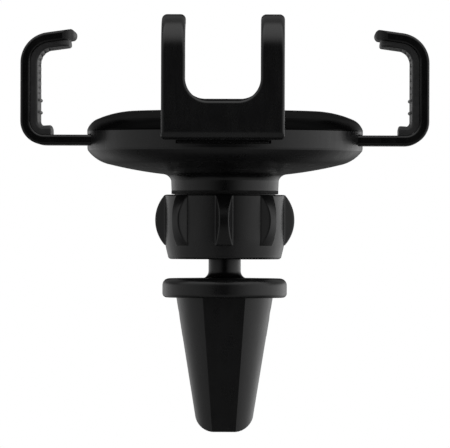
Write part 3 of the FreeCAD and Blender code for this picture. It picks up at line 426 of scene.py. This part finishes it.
def arm_liner(side_name, side):
    """Crowned liner in one arm: a heel on the bar, two low beads, grip grooves and a round tip."""
    low_corner, high_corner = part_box(side_name + "_arm")
    reach = max(abs(low_corner.x), abs(high_corner.x))
    bar_low = low_corner.z
    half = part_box(side_name + "_arm_pad")[1].y
    path = c_hook(reach - ARM_WALL, bar_low + ARM_WALL, ARM_LOW_BEND - ARM_WALL, ARM_STRAIGHT_TOP,
                  ARM_TOP_BEND - ARM_WALL, ARM_TIP - 0.55 * MM, HOOK_SLOPE, LINER_HEEL)
    length = path.length
    bend_end = LINER_HEEL + (ARM_LOW_BEND - ARM_WALL) * math.pi / 2
    beads = [bend_end + height - bar_low - ARM_LOW_BEND for height in BEAD_HEIGHTS]
    rows = spaced(0.0, length, 170, 0.5 * MM)
    for bead in beads:
        rows += [bead + BEAD_SIZE * i / 6 for i in range(-7, 8)]
    rows = sorted(set(rows))
    shares = [2 * i / 46 - 1 for i in range(1, 46)]
    shares += [sign * (1 - 0.018 * i * i / 9) for sign in (-1, 1) for i in range(4)]
    shares = sorted(set(shares))

    edge_thickness = 1.32 * MM
    crown = 0.40 * MM
    heel_swell = 0.165 * MM
    heel_reach = 2.2 * MM
    hook_thinning = 0.30 * MM
    bead_margin = 0.8 * MM
    groove_depth = 0.22 * MM
    groove_margin = 1.1 * MM
    spine_half = 0.9 * MM
    fade_width = 0.2 * MM

    def half_at(s):
        past = s - (length - LINER_TIP_CORNER)
        if past <= 0:
            return half
        return half - LINER_TIP_CORNER + math.sqrt(max(LINER_TIP_CORNER ** 2 - past ** 2, 0.0))

    def bead_height(s, sides):
        """How far a bead stands proud here."""
        height = 0.0
        for bead in beads:
            away = abs(s - bead) / BEAD_SIZE
            if away < 1 and sides > bead_margin:
                fade = min(1.0, (sides - bead_margin) / fade_width)
                height += BEAD_SIZE * math.sqrt(1 - away * away) * fade
        return height

    def groove_at(s, y, sides):
        """How deep the grip grooves are here: above the beads, on both sides of a plain spine."""
        grooved = beads[1] + 1.2 * MM < s < length - 3.4 * MM
        if not grooved or abs(y) <= spine_half or sides <= groove_margin:
            return 0.0
        fade = min(1.0, (abs(y) - spine_half) / fade_width, (sides - groove_margin) / fade_width)
        return groove_depth * ridge(s, GRIP_PITCH, GRIP_SHARE) * fade

    def thickness(s, y):
        sides = half_at(s) - abs(y)
        ends = min(s, length - s)
        full = edge_thickness + crown * (1 - (y / half) ** 2)
        full += heel_swell * max(0.0, 1 - s / heel_reach) ** 0.5
        under_hook = min(1.0, max(0.0, (s - (length - 8.0 * MM)) / (4.0 * MM)))
        full += bead_height(s, sides) - hook_thinning * under_hook - groove_at(s, y, sides)
        return full - rounding(ends, SIDE_EDGE) - rounding(sides, SIDE_EDGE)

    def skin(inset):
        def spot(s, share):
            y = share * half_at(s)
            x, z = path.at(s, inset(s, y))
            return Vector((x * side, y, z))
        return spot

    spots = [(s, share) for s in rows for share in shares]
    slab(side_name + "_arm_liner", spots, grid(len(rows), len(shares)), skin(thickness),
         skin(lambda s, y: 0.0), side_name + "_grip", side_name + "_arm_pad")


arm_liner("left", -1)
arm_liner("right", 1)

# ---------------------------------------------------------------- foot

FOOT_WALL = 2.2 * MM
FOOT_STRAIGHT_TOP = 46.38 * MM
FOOT_TOP_BEND = 6.3 * MM
FOOT_TIP = 2.8 * MM
FOOT_NOTCH_HALF = 6.96 * MM
FOOT_NOTCH_LOW = 36.7 * MM
FOOT_NOTCH_CORNER = 4.2 * MM
FOOT_LOW_CORNER = 0.8 * MM


class Notched:
    """Two posts over a cross wall: spots over the path and the distance to every free edge."""

    def __init__(self, path, base, half, notch, notch_low, corner, low_corner, top_corner):
        self.path = path
        self.base = base
        self.half = half
        self.notch = notch
        self.notch_low = notch_low
        self.corner = corner
        self.low_corner = low_corner
        self.top_corner = top_corner
        self.flat = notch - corner
        self.spots = []
        self.faces = []
        self.known = {}
        self.fill()

    def outer_edge(self, s):
        """Half the width at a row, with round corners at the bottom and at the hooks' tips."""
        top = s - (self.path.length - self.top_corner)
        if s < self.low_corner:
            rest = self.low_corner - s
            return self.half - self.low_corner + math.sqrt(max(self.low_corner ** 2 - rest ** 2, 0.0))
        if top > 0:
            return self.half - self.top_corner + math.sqrt(max(self.top_corner ** 2 - top ** 2, 0.0))
        return self.half

    def inner_edge(self, s):
        """Half the notch's width at a row."""
        rise = self.base + s - self.notch_low
        top = s - (self.path.length - self.top_corner)
        if rise <= 0:
            return self.flat
        if rise < self.corner:
            return self.flat + math.sqrt(self.corner ** 2 - (self.corner - rise) ** 2)
        if top > 0:
            return self.notch + self.top_corner - math.sqrt(max(self.top_corner ** 2 - top ** 2, 0.0))
        return self.notch

    def to_side(self, x, s):
        return self.outer_edge(s) - abs(x)

    def to_notch(self, x, s):
        x = abs(x)
        z = self.base + s
        if x < self.flat:
            return self.notch_low - z
        if z < self.notch_low + self.corner:
            return math.dist((x, z), (self.flat, self.notch_low + self.corner)) - self.corner
        return x - self.inner_edge(s)

    def number(self, x, s):
        """Index of a spot, shared by the grids that meet there."""
        key = (round(x / MM, 5), round(s / MM, 5))
        if key not in self.known:
            self.known[key] = len(self.spots)
            self.spots.append((x, s))
        return self.known[key]

    def add_grid(self, rows, x_of, count, flipped):
        numbers = [self.number(x_of(s, k), s) for s in rows for k in range(count)]
        for face in grid(len(rows), count):
            face = tuple(numbers[i] for i in face)
            self.faces.append(tuple(reversed(face)) if flipped else face)

    def fill(self):
        wall_top = self.notch_low - self.base
        ends = [end * MM for end in (0.0, 0.03, 0.08, 0.16, 0.26, 0.38, 0.5, 0.64, 0.8)]
        border = 1.0 * MM
        low_rows = list(ends)
        low_rows += [border + (wall_top - 2 * border) * i / 24 for i in range(25)]
        low_rows += [wall_top - end for end in reversed(ends)]
        rise_rows = [wall_top + self.corner * (1 - math.cos(math.pi / 2 * i / 28)) for i in range(1, 29)]
        start = rise_rows[-1]
        rest = self.path.length - border - start
        top_rows = [start + rest * i / 90 for i in range(1, 91)]
        top_rows += [self.path.length - end for end in reversed(ends)]
        rows = low_rows + rise_rows + top_rows
        shares = [0, 0.012, 0.03, 0.055, 0.09, 0.13, *[0.18 + 0.64 * i / 12 for i in range(13)]]
        shares += [0.87, 0.91, 0.945, 0.97, 0.988, 1.0]
        for side in (-1, 1):
            def outer_x(s, k):
                inner = self.inner_edge(s)
                return side * (inner + (self.outer_edge(s) - inner) * shares[k])

            def middle_x(s, k):
                return side * self.flat * k / 8

            self.add_grid(rows, outer_x, len(shares), side < 0)
            self.add_grid(low_rows, middle_x, 9, side < 0)

    def skin(self, inset):
        def spot(x, s):
            reach, z = self.path.at(s, inset(x, s))
            return Vector((x, -reach, z))
        return spot


def foot_shell():
    """The foot's U-shaped wall, with rounded corners and edges."""
    low_corner, high_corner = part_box("foot")
    path = c_hook(-low_corner.y, low_corner.z, 0.0, FOOT_STRAIGHT_TOP, FOOT_TOP_BEND, FOOT_TIP,
                  HOOK_SLOPE, 0.0)
    shape = Notched(path, low_corner.z, high_corner.x, FOOT_NOTCH_HALF, FOOT_NOTCH_LOW, FOOT_NOTCH_CORNER,
                    FOOT_LOW_CORNER, 1.25 * MM)
    bend_start = FOOT_STRAIGHT_TOP - low_corner.z
    bottom_edge = 1.7 * MM
    tip_edge = 1.0 * MM
    back_edge = 0.5 * MM

    def edge_at(s):
        """The edges' rounding, which grows over the top bends."""
        return 0.52 * MM + 0.42 * MM * min(1.0, max(0.0, (s - bend_start + 1.0 * MM) / (6.0 * MM)))

    def fall_at(x, s, edge):
        """How far both free edges' rounding falls back here."""
        return rounding(shape.to_side(x, s), edge) + rounding(shape.to_notch(x, s), edge)

    def front_face(x, s):
        edge = edge_at(s)
        fall = min(fall_at(x, s, edge), edge)
        return max(fall, rounding(s, bottom_edge), rounding(path.length - s, tip_edge))

    def back_face(x, s):
        fall = max(fall_at(x, s, back_edge), rounding(path.length - s, tip_edge))
        return FOOT_WALL - min(fall, back_edge * 2)

    wall = slab("foot_shell", shape.spots, shape.faces, shape.skin(back_face), shape.skin(front_face),
                "foot_slider", "foot")
    wall.data.materials[0] = FOOT_FINISH


def foot_liner():
    """The soft liner behind the foot's wall, with grip grooves."""
    front = -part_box("foot")[0].y
    low_corner, high_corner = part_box("foot_pad")
    inset = FOOT_WALL + 0.02 * MM
    path = c_hook(front - inset, low_corner.z, 0.0, FOOT_STRAIGHT_TOP, FOOT_TOP_BEND - inset,
                  FOOT_TIP - 0.4 * MM, HOOK_SLOPE, 0.0)
    shape = Notched(path, low_corner.z, high_corner.x, FOOT_NOTCH_HALF + 0.5 * MM, FOOT_NOTCH_LOW + 0.4 * MM,
                    FOOT_NOTCH_CORNER, FOOT_LOW_CORNER, 0.8 * MM)
    full = 1.78 * MM
    groove_depth = 0.25 * MM
    groove_margin = 0.7 * MM
    fade_width = 0.2 * MM

    def thickness(x, s):
        sides = shape.to_side(x, s)
        inner = shape.to_notch(x, s)
        ends = min(s, path.length - s)
        groove = 0.0
        clear = min(sides, inner, ends) - groove_margin
        if clear > 0:
            groove = groove_depth * ridge(s, GRIP_PITCH, GRIP_SHARE) * min(1.0, clear / fade_width)
        fall = rounding(ends, SIDE_EDGE) + rounding(sides, SIDE_EDGE) + rounding(inner, SIDE_EDGE)
        return full - groove - min(fall, full * 0.6)

    slab("foot_liner", shape.spots, shape.faces, shape.skin(thickness), shape.skin(lambda x, s: 0.0),
         "foot_slider", "foot_pad")


foot_shell()
foot_liner()


# ---------------------------------------------------------------- face pad, jaws, nut and painted shade ring


def face_pad():
    """Round pad with a raised rim, a ring groove and round grip studs."""
    low_corner, high_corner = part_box("front_pad")
    radius = high_corner.x
    low = low_corner.z
    top = high_corner.z
    edge = 0.3 * MM
    pitch = 2.1 * MM
    stud = 0.62 * MM
    stud_height = 0.28 * MM
    floor = top - 0.30 * MM
    rim = 2.6 * MM
    field = radius - rim - 0.8 * MM
    row_height = pitch * math.sqrt(3) / 2
    rings = [radius * i / 184 for i in range(1, 185)]
    count = 360

    def height(x, y):
        out = math.hypot(x, y)
        if out > radius - rim:
            return top - rounding(radius - out, edge) - rounding(out - (radius - rim), edge * 0.5)
        row = round(y / row_height)
        shift = (row % 2) * pitch / 2
        centre = (round((x - shift) / pitch) * pitch + shift, row * row_height)
        away = math.dist((x, y), centre)
        if math.hypot(*centre) > field - stud or away >= stud:
            return floor
        return floor + stud_height * math.sqrt(1 - (away / stud) ** 2) ** 0.7

    spots = [(0.0, 0.0)]
    for ring in rings:
        for k in range(count):
            angle = 2 * math.pi * k / count
            spots.append((ring * math.cos(angle), ring * math.sin(angle)))
    faces = [(0, 1 + k, 1 + (k + 1) % count) for k in range(count)]
    for i in range(len(rings) - 1):
        for k in range(count):
            a = 1 + i * count + k
            b = 1 + i * count + (k + 1) % count
            faces.append((a, a + count, b + count, b))
    slab("face_pad", spots, faces, lambda x, y: Vector((x, y, low)),
         lambda x, y: Vector((x, y, height(x, y))), "housing", "front_pad")


face_pad()


def jaw_strip(label, side):
    """Ribbed liner of one jaw; side is the sign of its Y."""
    low_corner, high_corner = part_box("jaw_liner_" + label)
    base = low_corner.z
    top = high_corner.z
    far = max(abs(low_corner.y), abs(high_corner.y))
    near_y = min(abs(low_corner.y), abs(high_corner.y))
    top_half = high_corner.x
    tip_half = 3.42 * MM
    flare = 0.9 * MM
    shoulder = 1.6 * MM
    edge = 0.35 * MM
    pitch = 1.3 * MM
    depth = 0.405 * MM
    plain_end = 0.8 * MM
    fade_width = 0.25 * MM

    def half_at(z):
        """Half the width: a short flare over the tip, then a straight taper."""
        rise = z - base
        if rise < shoulder:
            return tip_half + flare * rise / shoulder
        share = (rise - shoulder) / (top - base - shoulder)
        return tip_half + flare + (top_half - tip_half - flare) * share

    rows = spaced(base, top, 190, edge)
    shares = [-1, -0.985, -0.96, -0.93, -0.9, *[i / 10 for i in range(-8, 9)], 0.9, 0.93, 0.96, 0.985, 1]

    def face_y(x, z):
        sides = half_at(z) - abs(x)
        ends = min(z - base, top - z)
        dip = 0.0
        if ends > plain_end:
            dip = depth * (1 - ridge(z - base - plain_end, pitch, 0.8)) * min(1.0, sides / fade_width)
        return near_y + dip + rounding(ends, edge) + rounding(sides, edge)

    spots = [(half_at(z) * share, z) for z in rows for share in shares]
    slab("jaw_grip_" + label, spots, grid(len(rows), len(shares)),
         lambda x, z: Vector((x, side * far, z)), lambda x, z: Vector((x, side * face_y(x, z), z)),
         label + "_jaw", "jaw_liner_" + label)


jaw_strip("front", -1)
jaw_strip("rear", 1)


def arc(radius, z, size, start, end, steps):
    """Spots of a quarter round, with its centre at (radius, z)."""
    angles = [math.radians(start + (end - start) * i / steps) for i in range(steps + 1)]
    return [(radius + size * math.cos(a), z + size * math.sin(a), True) for a in angles]


def nut():
    """Lock nut: a turned core with eight crowned ribs whose flanks run softly into the core."""
    low_corner, high_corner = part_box("lock_nut")
    low = low_corner.z
    top = high_corner.z
    crest = high_corner.y
    core = 11.5 * MM
    rib_low = low + 2.67 * MM
    rib_top = top - 0.05 * MM
    middle = (rib_low + rib_top) / 2
    half_height = (rib_top - rib_low) / 2
    rise = crest - core
    crown = (half_height ** 2 + rise ** 2) / (2 * rise)
    root_half = 1.62 * MM
    lean = 0.4
    crest_soft = 0.42 * MM
    root_soft = 0.336 * MM
    count = 8

    def swell(angle, radius, z):
        """How far the ribs stand out here, with soft crests and roots; a few rounds settle it."""
        off = abs(z - middle)
        if off >= half_height:
            return 0.0
        height = math.sqrt(crown ** 2 - off ** 2) - (crown - rise) + core - radius
        if height <= 0:
            return 0.0
        step = 2 * math.pi / count
        turn = (angle + math.pi / 2 + step / 2) % step - step / 2
        up = 0.0
        for _ in range(5):
            flank = (root_half - abs((radius + up) * math.sin(turn))) / lean
            mix = max(0.0, 1 - abs(flank - height) / crest_soft)
            top_part = min(flank, height) - mix * mix * crest_soft / 4
            mix = max(0.0, 1 - abs(top_part) / root_soft)
            up = max(top_part, 0.0) + mix * mix * root_soft / 4
        return min(up, height)

    # Distances from a rib's middle, in millimetres at its crest: closest together on its flank.
    steps = [0.0, 0.1, 0.2, 0.3, 0.4, 0.5, 0.58]
    steps += [0.62 + 0.05 * i for i in range(25)]
    steps += [1.9, 2.1, 2.4, 2.8, 3.2, 3.6, 4.0, 4.4]
    step_reach = 12.0
    angles = []
    for k in range(count):
        centre = -math.pi / 2 + 2 * math.pi * k / count
        for away in steps:
            turn = math.asin(away / step_reach)
            angles += [centre + turn] if away == 0 else [centre - turn, centre + turn]
    angles.sort()
    bore = 9.7 * MM
    bore_edge = 0.25 * MM
    mouth = 6.7 * MM
    mouth_edge = 0.35 * MM
    floor_top = low + 1.17 * MM
    low_edge = 0.65 * MM
    top_edge = 0.3 * MM
    taper = 0.65 * MM
    taper_height = 3.2 * MM
    loop = [(mouth + mouth_edge, low, False), (mouth + 1.6 * MM, low, False)]
    loop += arc(core - taper - low_edge, low + low_edge, low_edge, -90, 0, 9)
    rows = 110
    first = low + low_edge
    last = top - top_edge
    for i in range(1, rows):
        z = first + (last - first) * i / rows
        slant = min(1.0, (z - first) / taper_height)
        loop.append((core - taper * (1 - slant) ** 1.3, z, True))
    loop += arc(core - top_edge, last, top_edge, 0, 90, 6)
    loop += [(bore + bore_edge, top, False), (bore, top - bore_edge, False), (bore, floor_top, False),
             (mouth, floor_top, False), (mouth, low + mouth_edge, False)]
    turned("nut_body", loop, angles, "nut", "lock_nut", swell=swell)


nut()


def neck_shade_ring():
    """Matte black ring in the step below the neck, over the nut: a dark piece put there as painted shade in
    that step.
    """
    low = 19.72 * MM
    high = 20.40 * MM
    inside = 9.90 * MM
    outside = 10.20 * MM
    edge = 0.06 * MM
    loop = [(inside, low, False), *arc(outside - edge, low + edge, edge, -90, 0, 4),
            *arc(outside - edge, high - edge, edge, 0, 90, 4), (inside, high, False)]
    angles = [2 * math.pi * k / 240 for k in range(240)]
    ring = turned("neck_shade_ring", loop, angles, "housing", None, "grip_rubber")
    # The ring takes the near-black finish, as painted shade in the step under the neck.
    ring.data.materials[0] = SHADE_RING_FINISH


neck_shade_ring()


# ---------------------------------------------------------------- floor, light and camera

FLOOR_HEIGHT = -0.25
FLOOR_RADIUS = 2.0
floor_mesh = bpy.data.meshes.new("studio_floor")
build = bmesh.new()
bmesh.ops.create_circle(build, cap_ends=True, segments=96, radius=FLOOR_RADIUS)
build.to_mesh(floor_mesh)
build.free()
floor = bpy.data.objects.new("studio_floor", floor_mesh)
floor.location.z = FLOOR_HEIGHT
scene.collection.objects.link(floor)
floor_mesh.materials.append(studio_floor("pale_floor"))
floor.visible_glossy = False

# Brightness of the studio around the mount, against the angle from straight in front of it
# (in degrees): a dark front, wide boxes at both sides, and a bright back.
AROUND = [(0, 0.02), (12, 0.03), (25, 0.26), (37, 0.36), (47, 0.52), (72, 0.68), (94, 0.82), (124, 1.05),
          (150, 0.95), (180, 0.85)]
# Shares of that against the height of the direction (its Z), and against how far it lies aside
# (its X): the boxes reach a little above and below the mount, and the middle is flagged off.
UPWARD = [(-1.0, 0.08), (-0.72, 0.10), (-0.42, 0.55), (-0.15, 1.0), (0.25, 1.0), (0.5, 0.55), (0.7, 0.3),
          (1.0, 0.3)]
ASIDE = [(0.0, 0.12), (0.16, 0.16), (0.36, 0.85), (0.55, 1.0), (1.0, 1.0)]
# A soft box overhead, a faint fill from the camera's side, and light off the floor in front.
OVERHEAD = [(-1.0, 0.0), (0.30, 0.0), (0.62, 0.75), (0.80, 1.0), (1.0, 1.0)]
FILL = [(-1.0, 0.012), (-0.93, 0.012), (-0.80, 0.0), (1.0, 0.0)]
FLOOR_LIGHT = [(-1.0, 0.18), (-0.55, 0.18), (-0.20, 0.0), (1.0, 0.0)]
FLOOR_FRONT = [(-1.0, 1.0), (-0.15, 1.0), (0.10, 0.0), (1.0, 0.0)]
# The boxes and the overhead light are held back where they are both behind the mount and above it.
DARK_BEHIND = [(-1.0, 0.0), (-0.02, 0.0), (0.22, 1.0), (1.0, 1.0)]
DARK_ABOVE = [(-1.0, 0.0), (0.06, 0.0), (0.22, 0.75), (1.0, 0.75)]
# The right side is brighter than the left by this share each way.
SIDE_BIAS = 0.36

world = bpy.data.worlds.new("studio")
scene.world = world
world.use_nodes = True
tree = world.node_tree
tree.nodes.clear()


def sky_math(operation, first, second):
    node = tree.nodes.new("ShaderNodeMath")
    node.operation = operation
    for socket, value in enumerate((first, second)):
        if isinstance(value, (int, float)):
            node.inputs[socket].default_value = value
        elif value is not None:
            tree.links.new(value, node.inputs[socket])
    return node.outputs["Value"]


def sky_curve(source, spots, low, high):
    """A level for each value between low and high, from a few spots."""
    place_in_ramp = tree.nodes.new("ShaderNodeMapRange")
    place_in_ramp.inputs["From Min"].default_value = low
    place_in_ramp.inputs["From Max"].default_value = high
    tree.links.new(source, place_in_ramp.inputs["Value"])
    ramp = tree.nodes.new("ShaderNodeValToRGB")
    tree.links.new(place_in_ramp.outputs["Result"], ramp.inputs["Fac"])
    stops = ramp.color_ramp.elements
    while len(stops) < len(spots):
        stops.new(0.5)
    for stop, (value, level) in zip(stops, sorted(spots)):
        stop.position = (value - low) / (high - low)
        stop.color = (level, level, level, 1)
    return ramp.outputs["Color"]


place = tree.nodes.new("ShaderNodeTexCoord")
split = tree.nodes.new("ShaderNodeSeparateXYZ")
tree.links.new(place.outputs["Generated"], split.inputs["Vector"])
around = sky_curve(split.outputs["Y"], [(-math.cos(math.radians(a)), level) for a, level in AROUND],
                   -1.0, 1.0)
upward = sky_curve(split.outputs["Z"], UPWARD, -1.0, 1.0)
aside = sky_curve(sky_math("ABSOLUTE", split.outputs["X"], None), ASIDE, 0.0, 1.0)
boxes = sky_math("MULTIPLY", sky_math("MULTIPLY", around, upward), aside)
bias = sky_math("ADD", sky_math("MULTIPLY", split.outputs["X"], SIDE_BIAS), 1.0)
boxes = sky_math("MULTIPLY", boxes, bias)
level = sky_math("ADD", boxes, sky_curve(split.outputs["Z"], OVERHEAD, -1.0, 1.0))
dark = sky_math("MULTIPLY", sky_curve(split.outputs["Y"], DARK_BEHIND, -1.0, 1.0),
                sky_curve(split.outputs["Z"], DARK_ABOVE, -1.0, 1.0))
level = sky_math("MULTIPLY", level, sky_math("SUBTRACT", 1.0, dark))
level = sky_math("ADD", level, sky_curve(split.outputs["Y"], FILL, -1.0, 1.0))
floor_light = sky_curve(split.outputs["Z"], FLOOR_LIGHT, -1.0, 1.0)
floor_light = sky_math("MULTIPLY", floor_light, sky_curve(split.outputs["Y"], FLOOR_FRONT, -1.0, 1.0))
level = sky_math("ADD", level, floor_light)
surround = tree.nodes.new("ShaderNodeBackground")
tree.links.new(level, surround.inputs["Color"])
backdrop = tree.nodes.new("ShaderNodeBackground")
backdrop.inputs["Color"].default_value = (1, 1, 1, 1)
rays = tree.nodes.new("ShaderNodeLightPath")
choice = tree.nodes.new("ShaderNodeMixShader")
tree.links.new(rays.outputs["Is Camera Ray"], choice.inputs["Fac"])
tree.links.new(surround.outputs["Background"], choice.inputs[1])
tree.links.new(backdrop.outputs["Background"], choice.inputs[2])
output = tree.nodes.new("ShaderNodeOutputWorld")
tree.links.new(choice.outputs["Shader"], output.inputs["Surface"])

# Seen nearly square on, a little from the right, with the photo's small tilt.
CAMERA_DISTANCE = 1.0
CAMERA_HEIGHT = 0.01403
CAMERA_ASIDE = 0.012
CAMERA_ROLL = math.radians(0.18)
AIM_ASIDE = 0.00004
VIEW_WIDTH = 0.08588
SENSOR_WIDTH = 36
data = bpy.data.cameras.new("camera")
data.sensor_width = SENSOR_WIDTH
data.lens = SENSOR_WIDTH * CAMERA_DISTANCE / VIEW_WIDTH
data.clip_start = 0.05
data.clip_end = 20
camera = bpy.data.objects.new("camera", data)
camera.location = (CAMERA_ASIDE, -CAMERA_DISTANCE, CAMERA_HEIGHT)
aim = Vector((AIM_ASIDE, 0, CAMERA_HEIGHT)) - camera.location
level_view = aim.to_track_quat("-Z", "Y")
camera.rotation_euler = (level_view @ Quaternion((0, 0, 1), CAMERA_ROLL)).to_euler()
scene.collection.objects.link(camera)
scene.camera = camera
scene.view_settings.view_transform = "Standard"
scene.view_settings.look = "None"
